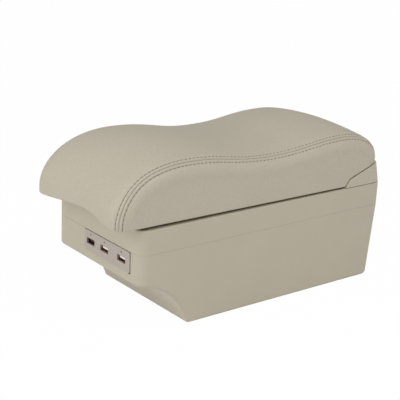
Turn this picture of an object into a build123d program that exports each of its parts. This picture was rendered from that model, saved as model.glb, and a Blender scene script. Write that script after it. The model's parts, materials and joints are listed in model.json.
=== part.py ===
# Car centre armrest: padded wave lid hinged on a two-part box with a USB panel
import math
import os

from build123d import *

os.makedirs("parts", exist_ok=True)

# Overall sizes, millimetres; front faces -Y, origin under the middle
box_width = 148.0
box_length = 314.0
nose_overhang = 28.0
half_width = box_width / 2
front_y = (nose_overhang - box_length) / 2
rear_y = front_y + box_length
nose_y = front_y - nose_overhang
box_mid_y = (front_y + rear_y) / 2

# Clearances, and how far cutting shapes run past what they cut
slip_gap = 0.2
running_gap = 0.05
hole_gap = 0.1
pick_margin = 0.5
overrun = 30.0
beyond = 2 * box_length

# Box walls
wall = 2.5
corner_radius = 11.0
edge_radius = 4.0
smallest_round = 1.0
lip_height = 48.9
parting_height = 80.2
rim_height = 104.7
keel_setback = 58.0
undercut_setback = 38.5
undercut_drop = 17.5
rear_draft = 7.5
parting_chamfer = 0.2
rim_radius = 1.2
keel_y = front_y + keel_setback
undercut_y = front_y + undercut_setback
undercut_z = lip_height - undercut_drop
tub_overtop = 10.0

# Bin mouth in the upper frame
flange_thickness = 3.0
mouth_side = 18.0
mouth_front = 15.0
mouth_rear = 64.0
mouth_radius = 10.0
mouth_width = box_width - 2 * mouth_side
mouth_length = box_length - mouth_front - mouth_rear
mouth_mid_y = front_y + mouth_front + mouth_length / 2

# Screws: large ones in the frame, small ones elsewhere
frame_screw_radius = 1.75
frame_screw_head = 3.4
frame_screw_head_height = 2.2
frame_screw_length = 20.0
frame_screw_rise = 8.0
frame_screw_seat = parting_height + frame_screw_rise
small_screw_radius = 1.2
small_screw_head = 2.3
small_screw_head_height = 1.1
small_screw_length = 7.0
small_hole_radius = small_screw_radius + hole_gap
screw_sink = 1.2
screw_end_room = 1.0
small_screw_depth = small_screw_length + screw_end_room

# Corner pillars
pillar_size = 14.0
pillar_depth = 26.0
pillar_inset = 7.6

# Floor fixings
bolt_spacing_x = 80.0
bolt_spacing_y = 160.0
bolt_hole_radius = 2.6
bolt_pad_radius = 6.5
bolt_mid_y = (keel_y + rear_y - rear_draft) / 2
mat_thickness = 2.0
mat_margin = 6.0
mat_radius = 9.0
mat_hole_gap = 0.5
mat_width = box_width - 2 * mat_margin
mat_front_y = keel_y + mat_margin
mat_rear_y = rear_y - rear_draft - mat_margin

# Lid outline
lid_rear_inset = 5.4
lid_gap_front = 3.4
lid_gap_rear = 1.6
nose_rise = 10.0
hump_front_back = 52.0
hump_front_rise = 60.2
dip_back = 160.0
dip_rise = 49.4
hump_rear_inset = 65.0
hump_rear_rise = 56.5
heel_rise = 26.5
crown = 7.8
shoulder_radius = 15.0
seam_inset = 4.4
seam_gap = 0.4
lid_rear_y = rear_y - lid_rear_inset
lid_low_front = rim_height + lid_gap_front
lid_low_rear = rim_height + lid_gap_rear
nose_top = rim_height + nose_rise
heel_height = rim_height + heel_rise
hump_front = (front_y + hump_front_back, rim_height + hump_front_rise)
dip = (front_y + dip_back, rim_height + dip_rise)
hump_rear = (rear_y - hump_rear_inset, rim_height + hump_rear_rise)
seam_x = half_width - seam_inset

# Finger scoop under the nose
scoop_left = 0.5
scoop_right = 2.0
scoop_peak_inset = 52.0
scoop_rise = 8.6
scoop_start = 0.2
scoop_depth = 20.0
scoop_x0 = scoop_left - half_width
scoop_x1 = half_width - scoop_right
scoop_peak_x = half_width - scoop_peak_inset

# Lid layers, as insets from the outside: along the wave outline and at the sides
cover_thickness = 1.5
layer_gap = 0.3
foam_thickness = 8.0
foam_side = 3.0
skeleton_wall = 2.5
rib_thickness = 1.6
rib_depth = 8.0
rib_x = 24.0
foam_out = cover_thickness + layer_gap
foam_in = foam_out + foam_thickness
foam_in_side = foam_out + foam_side
skeleton_out = foam_in + slip_gap
skeleton_out_side = foam_in_side + slip_gap
skeleton_in = skeleton_out + skeleton_wall
skeleton_in_side = skeleton_out_side + skeleton_wall

# Hinge
axis_inset = 5.0
axis_rise = 24.0
slope = 18.8
hinge_gap = 1.0
hinge_side_room = 1.0
knuckle_radius = 4.2
knuckle_relief = 0.6
pin_radius = 2.0
pin_overrun = 0.5
pin_chamfer = 0.4
knuckle_pitch = 20.0
knuckle_side_gap = 0.4
leaf_thickness = 2.5
leaf_length = 34.0
leaf_start = 6.0
leaf_screw_outer = 38.0
leaf_screw_inner = 13.0
leaf_screw_back = 22.0
hinge_pad_height = 10.0
axis_y = rear_y - axis_inset
axis_z = rim_height + axis_rise
knuckle_length = knuckle_pitch - knuckle_side_gap
hinge_span = 5 * knuckle_pitch
block_knuckles = (-2 * knuckle_pitch, 0.0, 2 * knuckle_pitch)
leaf_knuckles = (-knuckle_pitch, knuckle_pitch)
leaf_screw_x = (-leaf_screw_outer, -leaf_screw_inner, leaf_screw_inner, leaf_screw_outer)

# Hinge block
block_foot_inset = 54.0
block_brow_inset = 49.5
block_brow_radius = 13.0
block_top_overrun = -0.6
block_edge = 1.0
block_foot_chamfer = 0.6
block_boss = 5.0
block_screw_inset = 16.0
block_screw_inner = 22.0
block_screw_back = 26.0
block_screw_length = 10.0
block_foot_y = rear_y - block_foot_inset
block_brow_y = rear_y - block_brow_inset
block_screw_outer = half_width - block_screw_inset
block_screw_x = (-block_screw_outer, -block_screw_inner, block_screw_inner, block_screw_outer)
block_screw_y = rear_y - block_screw_back

# Liner panel
liner_thickness = 2.5
lip_width = 8.0
liner_gap = 0.4
liner_radius = 8.0
liner_screw_inset = 16.0
liner_screw_front = 6.0
liner_screw_middle = 130.0
liner_screw_rear = 68.0
liner_boss = 4.0
liner_half = half_width - lip_width - liner_gap
liner_front_y = nose_y + lip_width + liner_gap
liner_rear_y = axis_y - leaf_start
liner_screw_x = half_width - liner_screw_inset
liner_screw_rows = (front_y + liner_screw_front, front_y + liner_screw_middle, rear_y - liner_screw_rear)

# USB panel
panel_side = 17.0
panel_width = 78.0
panel_height = 21.5
panel_thickness = 2.0
panel_pocket = 1.2
panel_gap = 0.3
panel_gap_right = 1.0
panel_round_right = 3.0
panel_round_left = 1.0
panel_edge = 0.5
panel_x = half_width - panel_side - panel_width / 2
panel_top = parting_height - panel_gap
panel_z = panel_top - panel_height / 2
panel_front_y = front_y + panel_pocket - panel_thickness

# USB ports, as places on the panel
port_left_offset = 28.0
port_middle_offset = 4.0
port_right_offset = 25.3
port_drop = 11.0
port_width = 14.0
port_height = 6.2
port_round = 0.8
port_recess = 1.5
window_margin = 2.0
shell_width = 13.1
shell_height = 5.7
shell_depth = 14.0
shell_wall = 0.3
tongue_width = 11.1
tongue_thickness = 1.9
tongue_rise = 0.3
tongue_back = 1.0
tongue_root = 4.0
lens_drop = 3.8
lens_radius = 0.9
lens_length = 3.4
peg_radius = 1.5
peg_rise = 3.4
peg_overrun = 1.0
port_x = (panel_x - port_left_offset, panel_x - port_middle_offset, panel_x + port_right_offset)
port_z = parting_height - port_drop
shell_y = panel_front_y + port_recess
lens_z = parting_height - lens_drop
peg_x = ((port_x[0] + port_x[1]) / 2, (port_x[1] + port_x[2]) / 2)
peg_z = panel_top - panel_height + peg_rise

# USB board and its components
board_thickness = 1.6
board_margin = 9.0
board_depth = 22.2
post_radius = 3.0
post_side_inset = 5.0
post_back_inset = 4.5
capacitor_radius = 2.5
capacitor_height = 7.0
capacitor_pitch = 6.5
capacitor_offset = 16.6
coil_size = 7.0
coil_height = 4.0
coil_offset = 11.4
socket_width = 7.5
socket_depth = 6.0
socket_height = 6.0
socket_wall = 0.75
socket_floor = 1.0
socket_offset = 21.4
contact_size = 0.6
contact_height = 4.0
contact_pitch = 2.5
board_x0 = port_x[0] - board_margin
board_x1 = port_x[2] + board_margin
board_mid_x = (board_x0 + board_x1) / 2
board_y0 = front_y + wall + panel_gap
board_y1 = board_y0 + board_depth
board_top = port_z - shell_height / 2
board_post_x = (board_x0 + post_side_inset, board_mid_x, board_x1 - post_side_inset)
board_post_y = board_y1 - post_back_inset
capacitor_x = (board_mid_x - capacitor_offset, board_mid_x - capacitor_offset + capacitor_pitch)
coil_x = board_mid_x + coil_offset
socket_x = board_mid_x + socket_offset

# Inner cover over the board
cover_wall = 2.0
cover_side_room = 5.0
cover_depth = 36.0
cover_drop = 2.5
cover_corner = 3.0
cover_post_inset = 24.0
cover_post_back = 6.4
cover_post_radius = 3.2
cover_x0 = board_x0 - cover_side_room
cover_x1 = board_x1 + cover_side_room
cover_y1 = front_y + cover_depth
cover_top = parting_height - cover_drop
cover_post_x = (cover_x0 + cover_post_inset, cover_x1 - cover_post_inset)
cover_post_y = cover_y1 - cover_post_back

# Cable bush, below the panel
bush_back = 26.0
bush_bore = 3.0
bush_sleeve = 5.0
bush_flange = 7.5
bush_flange_height = 3.0
bush_edge = 1.0
bush_x = panel_x
bush_y = keel_y + bush_back

# Lid buffers
buffer_radius = 4.0
buffer_stem = 2.0
buffer_inset = 11.5
buffer_front = 32.0
buffer_rear = 100.0
buffer_gap = 0.35
buffer_x = half_width - buffer_inset
buffer_rows = (front_y + buffer_front, rear_y - buffer_rear)

low = Align.MIN
mid = Align.CENTER
high = Align.MAX


def lid_low(y):
    share = (y - nose_y) / (rear_y - nose_y)
    return lid_low_front + (lid_low_rear - lid_low_front) * share


# Box form, inset all round; its rear wall leans out to the parting line
def tub_form(inset, top):
    lean = rear_draft * (top - parting_height) / parting_height
    radius = corner_radius - inset
    with BuildPart() as form:
        with BuildSketch(Plane.YZ):
            with BuildLine():
                Line((front_y, top), (front_y, lip_height))
                ThreePointArc((front_y, lip_height), (undercut_y, undercut_z), (keel_y, 0))
                Polyline((keel_y, 0), (rear_y - rear_draft, 0), (rear_y + lean, top), (front_y, top))
            make_face()
            if inset > 0:
                offset(amount=-inset, kind=Kind.INTERSECTION, mode=Mode.REPLACE)
        extrude(amount=half_width - inset, both=True)
        fillet(form.edges().filter_by(Axis.Z), radius=radius)
        rear_face = form.faces().sort_by(Axis.Y)[-1]
        fillet(rear_face.edges().filter_by(Axis.X, reverse=True), radius=radius)
        floor_face = form.faces().sort_by(Axis.Z)[0]
        undercut = form.faces().sort_by_distance((0, undercut_y + inset, undercut_z + inset))[0]
        edges = floor_face.edges() + undercut.edges().filter_by_position(Axis.Z, inset + pick_margin, top)
        fillet(edges, radius=max(edge_radius - inset, smallest_round))
    return form.part


# Padded lid form, inset from the outside and still open below; crowned across the middle
def pad_form(inset, side_inset):
    foot = parting_height
    nose = nose_y + inset
    tail = lid_rear_y - inset
    half = half_width - side_inset
    with BuildPart() as form:
        for x, lift in ((-half, 0.0), (0.0, crown), (half, 0.0)):
            crest = (hump_front[0], hump_front[1] - inset + lift)
            sag = (dip[0], dip[1] - inset + lift)
            swell = (hump_rear[0], hump_rear[1] - inset + lift)
            with BuildSketch(Plane.YZ.offset(x)):
                with BuildLine():
                    Polyline((tail, heel_height), (tail, foot), (nose, foot), (nose, nose_top))
                    EllipticalCenterArc(
                        (crest[0], nose_top), crest[0] - nose, crest[1] - nose_top, 90, arc_size=90
                    )
                    Spline(crest, sag, swell, tangents=[(1, 0), (1, 0), (1, 0)])
                    EllipticalCenterArc(
                        (swell[0], heel_height), tail - swell[0], swell[1] - heel_height, 0, arc_size=90
                    )
                make_face()
        loft()
        ends = form.faces().filter_by(Axis.X)
        outline = ends.edges().filter_by_position(Axis.Z, foot + pick_margin, beyond)
        fillet(outline, radius=max(shoulder_radius - inset, smallest_round))
    return form.part


# Wedge of the hinge block, grown for the space that the lid leaves round it
def block_form(grow, half, foot):
    rise = math.tan(math.radians(slope))
    drop = hinge_gap / 2 / math.cos(math.radians(slope))
    brow_z = axis_z + (block_brow_y - axis_y) * rise - drop
    top_y = axis_y + block_top_overrun
    top_z = axis_z + block_top_overrun * rise - drop
    with BuildPart() as form:
        with BuildSketch(Plane.YZ) as wedge:
            with BuildLine():
                Polyline(
                    (block_foot_y, foot),
                    (block_foot_y, rim_height),
                    (block_brow_y, brow_z),
                    (top_y, top_z),
                    (rear_y - slip_gap, rim_height),
                    (rear_y - slip_gap, foot),
                    close=True,
                )
            make_face()
            fillet(wedge.vertices().sort_by_distance((block_brow_y, brow_z))[0], radius=block_brow_radius)
            if grow != 0:
                offset(amount=grow, kind=Kind.INTERSECTION, mode=Mode.REPLACE)
        extrude(amount=half, both=True)
    return form.part


# Everything under the lid, raised by a lift: rim gap, hinge block and finger scoop
def underside(lift):
    with BuildPart() as form:
        with BuildSketch(Plane.YZ):
            with BuildLine():
                Polyline(
                    (nose_y - overrun, lid_low(nose_y - overrun) + lift),
                    (rear_y + overrun, lid_low(rear_y + overrun) + lift),
                    (rear_y + overrun, 0),
                    (nose_y - overrun, 0),
                    close=True,
                )
            make_face()
        extrude(amount=box_width, both=True)
        add(block_form(hinge_gap + lift, box_width, parting_height))
        with BuildSketch(Plane.XZ.offset(-(nose_y + scoop_depth))):
            base = lid_low_front + lift - scoop_start
            with BuildLine():
                Spline(
                    (scoop_x0, base),
                    (scoop_peak_x, base + scoop_rise),
                    (scoop_x1, base),
                    tangents=[(1, 0), (1, 0), (1, 0)],
                )
                Polyline(
                    (scoop_x1, base),
                    (scoop_x1, base - overrun),
                    (scoop_x0, base - overrun),
                    (scoop_x0, base),
                )
            make_face()
        extrude(amount=scoop_depth + overrun)
    return form.part


def screw(radius, head_radius, head_height, length):
    with BuildPart() as made:
        Cylinder(radius, length, align=(mid, mid, high))
        Cylinder(head_radius, head_height, align=(mid, mid, low))
        with Locations((0, 0, head_height)):
            Box(head_radius * 1.2, head_radius * 0.24, head_height, mode=Mode.SUBTRACT)
            Box(head_radius * 0.24, head_radius * 1.2, head_height, mode=Mode.SUBTRACT)
    return made.part


# Shared shapes
hinge_plane = Plane(
    origin=(0, axis_y, axis_z),
    x_dir=(1, 0, 0),
    z_dir=(0, -math.sin(math.radians(slope)), math.cos(math.radians(slope))),
)
pillar_x = half_width - pillar_inset
pillar_places = [
    (-pillar_x, front_y + pillar_inset),
    (pillar_x, front_y + pillar_inset),
    (-pillar_x, rear_y - pillar_inset),
    (pillar_x, rear_y - pillar_inset),
]
bolt_places = [
    (x, y)
    for x in (-bolt_spacing_x / 2, bolt_spacing_x / 2)
    for y in (bolt_mid_y - bolt_spacing_y / 2, bolt_mid_y + bolt_spacing_y / 2)
]
buffer_places = [(x, y) for x in (-buffer_x, buffer_x) for y in buffer_rows]
liner_screw_places = [(x, y) for x in (-liner_screw_x, liner_screw_x) for y in liner_screw_rows]
tub_inside = tub_form(wall, parting_height + tub_overtop)
tub_post_limit = tub_form(wall / 2, parting_height + tub_overtop)
under_lid = underside(0)

# Corner pillars of the box, square in plan and kept inside its skin
with BuildPart() as pillars:
    with Locations(*[(x, y, parting_height) for x, y in pillar_places]):
        Box(pillar_size, pillar_size, pillar_depth, align=(mid, mid, high))
    add(tub_post_limit, mode=Mode.INTERSECT)

# Posts under the board and under the board cover
with BuildPart() as posts:
    with Locations(*[(x, board_post_y, board_top - board_thickness) for x in board_post_x]):
        Cylinder(post_radius, board_top, align=(mid, mid, high))
    with Locations(*[(x, cover_post_y, cover_top - cover_wall) for x in cover_post_x]):
        Cylinder(cover_post_radius, cover_top, align=(mid, mid, high))
    add(tub_post_limit, mode=Mode.INTERSECT)

# Lower box
with BuildPart() as lower_box:
    add(tub_form(0, parting_height))
    add(tub_inside, mode=Mode.SUBTRACT)
    add(pillars.part)
    add(posts.part)
    with Locations(*[(x, y, wall / 2) for x, y in bolt_places]):
        Cylinder(bolt_pad_radius, wall / 2 + mat_thickness, align=(mid, mid, low))
    with Locations(*[(x, y, 0) for x, y in bolt_places]):
        Cylinder(bolt_hole_radius, 10 * wall, mode=Mode.SUBTRACT)
    with Locations((bush_x, bush_y, 0)):
        Cylinder(bush_sleeve + hole_gap, 10 * wall, mode=Mode.SUBTRACT)
    with Locations(*[(x, y, parting_height) for x, y in pillar_places]):
        Cylinder(
            frame_screw_radius + hole_gap, frame_screw_length, align=(mid, mid, high), mode=Mode.SUBTRACT
        )
    with Locations(*[(x, board_post_y, board_top) for x in board_post_x]):
        Cylinder(small_hole_radius, small_screw_depth, align=(mid, mid, high), mode=Mode.SUBTRACT)
    with Locations(*[(x, cover_post_y, cover_top) for x in cover_post_x]):
        Cylinder(small_hole_radius, small_screw_depth, align=(mid, mid, high), mode=Mode.SUBTRACT)
    # Pocket, window, peg holes and light holes of the USB panel
    with BuildSketch(Plane.XZ.offset(-front_y)):
        pocket_x0 = panel_x - panel_width / 2 - panel_gap
        pocket_x1 = panel_x + panel_width / 2 + panel_gap_right
        pocket_z0 = panel_z - panel_height / 2 - panel_gap
        with Locations((pocket_x0, pocket_z0)):
            Rectangle(pocket_x1 - pocket_x0, parting_height - pocket_z0, align=(low, low))
    extrude(amount=-panel_pocket, mode=Mode.SUBTRACT)
    with BuildSketch(Plane.XZ.offset(-front_y)):
        window_x = (port_x[0] + port_x[-1]) / 2
        with Locations((window_x, port_z)):
            Rectangle(port_x[-1] - port_x[0] + port_width + window_margin, port_height + window_margin)
        with Locations(*[(x, peg_z) for x in peg_x]):
            Circle(peg_radius + hole_gap)
        with Locations(*[(x, lens_z) for x in port_x]):
            Circle(lens_radius + hole_gap)
    extrude(amount=-wall, mode=Mode.SUBTRACT)
lower_box.part.label = "lower_box"
export_step(lower_box.part, "parts/lower_box.step")

# Upper frame
with BuildPart() as upper_frame:
    height = rim_height - parting_height
    with BuildSketch(Plane.XY.offset(parting_height)):
        with Locations((0, box_mid_y)):
            RectangleRounded(box_width, box_length, corner_radius)
    extrude(amount=height)
    fillet(upper_frame.faces().sort_by(Axis.Z)[-1].edges(), radius=rim_radius)
    chamfer(upper_frame.faces().sort_by(Axis.Z)[0].edges(), length=parting_chamfer)
    with BuildSketch(Plane.XY.offset(parting_height)):
        with Locations((0, box_mid_y)):
            RectangleRounded(box_width - 2 * wall, box_length - 2 * wall, corner_radius - wall)
        with Locations(*pillar_places):
            Rectangle(pillar_size, pillar_size, mode=Mode.SUBTRACT)
    extrude(amount=height - flange_thickness, mode=Mode.SUBTRACT)
    with BuildSketch(Plane.XY.offset(rim_height)):
        with Locations((0, mouth_mid_y)):
            RectangleRounded(mouth_width, mouth_length, mouth_radius)
    extrude(amount=-flange_thickness, mode=Mode.SUBTRACT)
    with Locations(*[(x, y, rim_height) for x, y in pillar_places]):
        Cylinder(frame_screw_radius + 2 * hole_gap, 2 * height, mode=Mode.SUBTRACT)
        well_depth = rim_height - frame_screw_seat
        Cylinder(frame_screw_head + slip_gap, well_depth, align=(mid, mid, high), mode=Mode.SUBTRACT)
    with Locations(*[(x, y, rim_height) for x, y in buffer_places]):
        Cylinder(buffer_stem + hole_gap, 2 * flange_thickness, mode=Mode.SUBTRACT)
    with Locations(*[(x, block_screw_y, rim_height) for x in block_screw_x]):
        Cylinder(frame_screw_radius + 2 * hole_gap, 2 * flange_thickness, mode=Mode.SUBTRACT)
upper_frame.part.label = "upper_frame"
export_step(upper_frame.part, "parts/upper_frame.step")

# Frame screws
with BuildPart() as frame_screws:
    with Locations(*[(x, y, frame_screw_seat) for x, y in pillar_places]):
        add(screw(frame_screw_radius, frame_screw_head, frame_screw_head_height, frame_screw_length))
frame_screws.part.label = "frame_screws"
export_step(frame_screws.part, "parts/frame_screws.step")

# Bosses inside the hinge block
with BuildPart() as block_bosses:
    with Locations(*[(x, block_screw_y, rim_height) for x in block_screw_x]):
        Cylinder(block_boss, axis_z - rim_height, align=(mid, mid, low))
    add(block_form(-wall / 2, half_width, parting_height), mode=Mode.INTERSECT)

# Hinge block: hollow wedge with screw bosses and three knuckles
with BuildPart() as hinge_block:
    add(block_form(0, half_width, parting_height))
    leaning = hinge_block.edges().filter_by(Axis.X, reverse=True).filter_by_position(Axis.Y, axis_y, rear_y)
    fillet(leaning, radius=corner_radius)
    split(bisect_by=Plane.XY.offset(rim_height), keep=Keep.TOP)
    above_rim = hinge_block.edges().filter_by_position(Axis.Z, rim_height + pick_margin, beyond)
    fillet(above_rim, radius=block_edge)
    chamfer(hinge_block.faces().sort_by(Axis.Z)[0].edges(), length=block_foot_chamfer)
    add(block_form(-wall, half_width - corner_radius / 2, parting_height), mode=Mode.SUBTRACT)
    add(block_bosses.part)
    with Locations(*[(x, block_screw_y, rim_height) for x in block_screw_x]):
        hole_depth = block_screw_length - flange_thickness + screw_end_room
        Cylinder(frame_screw_radius + hole_gap, 2 * hole_depth, mode=Mode.SUBTRACT)
    with Locations(*[Location((x, axis_y, axis_z), (0, 90, 0)) for x in leaf_knuckles]):
        Cylinder(knuckle_radius + knuckle_relief, knuckle_pitch + knuckle_side_gap, mode=Mode.SUBTRACT)
    with Locations(*[Location((x, axis_y, axis_z), (0, 90, 0)) for x in block_knuckles]):
        Cylinder(knuckle_radius, knuckle_length)
    with Locations(Location((0, axis_y, axis_z), (0, 90, 0))):
        Cylinder(pin_radius + running_gap, beyond, mode=Mode.SUBTRACT)
hinge_block.part.label = "hinge_block"
export_step(hinge_block.part, "parts/hinge_block.step")

# Hinge block screws, driven up through the rear of the frame
with BuildPart() as hinge_block_screws:
    below = rim_height - flange_thickness
    with Locations(*[Location((x, block_screw_y, below), (180, 0, 0)) for x in block_screw_x]):
        add(screw(frame_screw_radius, frame_screw_head, frame_screw_head_height, block_screw_length))
hinge_block_screws.part.label = "hinge_block_screws"
export_step(hinge_block_screws.part, "parts/hinge_block_screws.step")

# Hinge pin
with BuildPart() as hinge_pin:
    with Locations(Location((0, axis_y, axis_z), (0, 90, 0))):
        Cylinder(pin_radius, hinge_span + 2 * pin_overrun)
    chamfer(hinge_pin.edges(), length=pin_chamfer)
hinge_pin.part.label = "hinge_pin"
export_step(hinge_pin.part, "parts/hinge_pin.step")

# Hinge leaf in the lid
with BuildPart() as hinge_leaf:
    with BuildSketch(hinge_plane.offset(hinge_gap / 2)):
        with Locations((0, -leaf_start)):
            Rectangle(hinge_span, leaf_length - leaf_start, align=(mid, high))
        with Locations(*[(x, 0) for x in leaf_knuckles]):
            Rectangle(knuckle_length, leaf_start + leaf_thickness, align=(mid, high))
    extrude(amount=leaf_thickness)
    with Locations(*[Location((x, axis_y, axis_z), (0, 90, 0)) for x in leaf_knuckles]):
        Cylinder(knuckle_radius, knuckle_length)
    with Locations(Location((0, axis_y, axis_z), (0, 90, 0))):
        Cylinder(pin_radius + running_gap, beyond, mode=Mode.SUBTRACT)
    with BuildSketch(hinge_plane):
        with Locations(*[(x, -leaf_screw_back) for x in leaf_screw_x]):
            Circle(small_hole_radius)
    extrude(amount=leaf_thickness * 2, mode=Mode.SUBTRACT)
    with BuildSketch(hinge_plane):
        with Locations(*[(x, -leaf_screw_back) for x in leaf_screw_x]):
            Circle(small_screw_head + slip_gap)
    extrude(amount=hinge_gap / 2 + screw_sink, mode=Mode.SUBTRACT)
hinge_leaf.part.label = "hinge_leaf"
export_step(hinge_leaf.part, "parts/hinge_leaf.step")

# Hinge leaf screws, heads sunk in the leaf
with BuildPart() as hinge_leaf_screws:
    seat = hinge_plane.offset(hinge_gap / 2 + screw_sink)
    with Locations(*[seat * Location((x, -leaf_screw_back, 0), (180, 0, 0)) for x in leaf_screw_x]):
        add(screw(small_screw_radius, small_screw_head, small_screw_head_height, small_screw_length))
hinge_leaf_screws.part.label = "hinge_leaf_screws"
export_step(hinge_leaf_screws.part, "parts/hinge_leaf_screws.step")

# Room for the hinge in the lid layers
with BuildPart() as hinge_room:
    with BuildSketch(Plane.YZ):
        with Locations((axis_y, axis_z)):
            Circle(knuckle_radius + knuckle_relief)
        with Locations(Location((axis_y, axis_z), slope)):
            Rectangle(leaf_length + slip_gap, hinge_gap / 2 + leaf_thickness, align=(high, low))
    extrude(amount=hinge_span / 2 + hinge_side_room, both=True)

# Covers: one leatherette shell turned in below, parted along the two seams
with BuildPart() as cover_hollow:
    add(pad_form(cover_thickness, cover_thickness))
    add(underside(cover_thickness), mode=Mode.SUBTRACT)

with BuildPart() as cover_shell:
    add(pad_form(0, 0))
    add(under_lid, mode=Mode.SUBTRACT)
    add(cover_hollow.part, mode=Mode.SUBTRACT)
    with BuildSketch(Plane.XY.offset(rim_height)):
        with Locations((0, nose_y + lip_width)):
            lip_length = liner_rear_y + liner_gap - nose_y - lip_width
            Rectangle(2 * (half_width - lip_width), lip_length, align=(mid, low))
        fillet(vertices(), radius=liner_radius)
    extrude(amount=axis_z - rim_height, mode=Mode.SUBTRACT)
    add(hinge_room.part, mode=Mode.SUBTRACT)

with BuildPart() as top_cover:
    add(cover_shell.part)
    with Locations((0, box_mid_y, rim_height)):
        Box(2 * seam_x - seam_gap, beyond, beyond, mode=Mode.INTERSECT)
top_cover.part.label = "top_cover"
export_step(top_cover.part, "parts/top_cover.step")

with BuildPart() as side_cover_left:
    add(cover_shell.part)
    with Locations((-seam_x - seam_gap / 2, box_mid_y, rim_height)):
        Box(box_width, beyond, beyond, align=(high, mid, mid), mode=Mode.INTERSECT)
side_cover_left.part.label = "side_cover_left"
export_step(side_cover_left.part, "parts/side_cover_left.step")

with BuildPart() as side_cover_right:
    add(cover_shell.part)
    with Locations((seam_x + seam_gap / 2, box_mid_y, rim_height)):
        Box(box_width, beyond, beyond, align=(low, mid, mid), mode=Mode.INTERSECT)
side_cover_right.part.label = "side_cover_right"
export_step(side_cover_right.part, "parts/side_cover_right.step")

# Foam pad
with BuildPart() as foam_pad:
    add(pad_form(foam_out, foam_out))
    add(underside(liner_thickness + slip_gap), mode=Mode.SUBTRACT)
    add(pad_form(foam_in, foam_in_side), mode=Mode.SUBTRACT)
    add(hinge_room.part, mode=Mode.SUBTRACT)
foam_pad.part.label = "foam_pad"
export_step(foam_pad.part, "parts/foam_pad.step")

# Ribs hanging from the lid skeleton: one below each crest, one below the dip, two lengthwise
half_wall = skeleton_wall / 2
with BuildPart() as skeleton_ribs:
    with Locations(*[(0, y, heel_height) for y in (hump_front[0], dip[0], hump_rear[0])]):
        Box(box_width, rib_thickness, box_width)
    with Locations((-rib_x, box_mid_y, heel_height), (rib_x, box_mid_y, heel_height)):
        Box(rib_thickness, beyond, box_width)
    add(pad_form(skeleton_out + half_wall, skeleton_out_side + half_wall), mode=Mode.INTERSECT)
    add(pad_form(skeleton_in + rib_depth, skeleton_in_side + rib_depth), mode=Mode.SUBTRACT)

# Lid skeleton with screw bosses and the hinge pad
with BuildPart() as skeleton_inserts:
    with Locations(*[(x, y, lid_low_rear) for x, y in liner_screw_places]):
        Cylinder(liner_boss, hump_front_rise, align=(mid, mid, low))
    with BuildSketch(hinge_plane):
        Rectangle(hinge_span + 2 * wall, leaf_length + wall, align=(mid, high))
    extrude(amount=hinge_gap / 2 + leaf_thickness + hinge_pad_height)
    add(pad_form(skeleton_out + half_wall, skeleton_out_side + half_wall), mode=Mode.INTERSECT)

with BuildPart() as lid_skeleton:
    add(pad_form(skeleton_out, skeleton_out_side))
    add(pad_form(skeleton_in, skeleton_in_side), mode=Mode.SUBTRACT)
    add(skeleton_ribs.part)
    add(skeleton_inserts.part)
    add(underside(liner_thickness + slip_gap), mode=Mode.SUBTRACT)
    add(hinge_room.part, mode=Mode.SUBTRACT)
    with Locations(*[(x, y, lid_low_rear) for x, y in liner_screw_places]):
        hole_depth = lid_low_front - lid_low_rear + screw_sink + small_screw_depth
        Cylinder(small_hole_radius, 2 * hole_depth, mode=Mode.SUBTRACT)
    with BuildSketch(hinge_plane):
        with Locations(*[(x, -leaf_screw_back) for x in leaf_screw_x]):
            Circle(small_hole_radius)
    extrude(amount=hinge_gap / 2 + screw_sink + small_screw_depth, mode=Mode.SUBTRACT)
lid_skeleton.part.label = "lid_skeleton"
export_step(lid_skeleton.part, "parts/lid_skeleton.step")

# Liner panel following the underside
with BuildPart() as lid_liner:
    add(underside(liner_thickness))
    add(under_lid, mode=Mode.SUBTRACT)
    with BuildSketch(Plane.XY.offset(rim_height)):
        with Locations((0, liner_front_y)):
            Rectangle(2 * liner_half, liner_rear_y - liner_front_y, align=(mid, low))
        fillet(vertices(), radius=liner_radius)
    extrude(amount=axis_z - rim_height, mode=Mode.INTERSECT)
    with BuildSketch(hinge_plane):
        Rectangle(hinge_span + 4 * slip_gap, leaf_length + 2 * slip_gap, align=(mid, high))
    extrude(amount=hinge_gap + 2 * leaf_thickness, both=True, mode=Mode.SUBTRACT)
    with Locations(*[(x, y, lid_low(y) + screw_sink) for x, y in liner_screw_places]):
        Cylinder(small_hole_radius, overrun, mode=Mode.SUBTRACT)
        Cylinder(small_screw_head + slip_gap, overrun, align=(mid, mid, high), mode=Mode.SUBTRACT)
lid_liner.part.label = "lid_liner"
export_step(lid_liner.part, "parts/lid_liner.step")

# Liner screws
with BuildPart() as lid_liner_screws:
    seats = [Location((x, y, lid_low(y) + screw_sink), (180, 0, 0)) for x, y in liner_screw_places]
    with Locations(*seats):
        add(screw(small_screw_radius, small_screw_head, small_screw_head_height, small_screw_length))
lid_liner_screws.part.label = "lid_liner_screws"
export_step(lid_liner_screws.part, "parts/lid_liner_screws.step")

# USB panel plate
with BuildPart() as usb_plate:
    with BuildSketch(Plane.XZ.offset(-panel_front_y)) as plate:
        with Locations((panel_x, panel_z)):
            Rectangle(panel_width, panel_height)
        fillet(plate.vertices().group_by(Axis.X)[-1], radius=panel_round_right)
        fillet(plate.vertices().group_by(Axis.X)[0], radius=panel_round_left)
    extrude(amount=-panel_thickness)
    fillet(usb_plate.faces().sort_by(Axis.Y)[0].edges(), radius=panel_edge)
    with BuildSketch(Plane.XZ.offset(-panel_front_y)):
        with Locations(*[(x, port_z) for x in port_x]):
            RectangleRounded(port_width, port_height, port_round)
        with Locations(*[(x, lens_z) for x in port_x]):
            Circle(lens_radius + hole_gap)
    extrude(amount=-panel_thickness, mode=Mode.SUBTRACT)
    with BuildSketch(Plane.XZ.offset(-(front_y + panel_pocket))):
        with Locations(*[(x, peg_z) for x in peg_x]):
            Circle(peg_radius)
    extrude(amount=-(wall - panel_pocket + peg_overrun))
usb_plate.part.label = "usb_plate"
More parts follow.
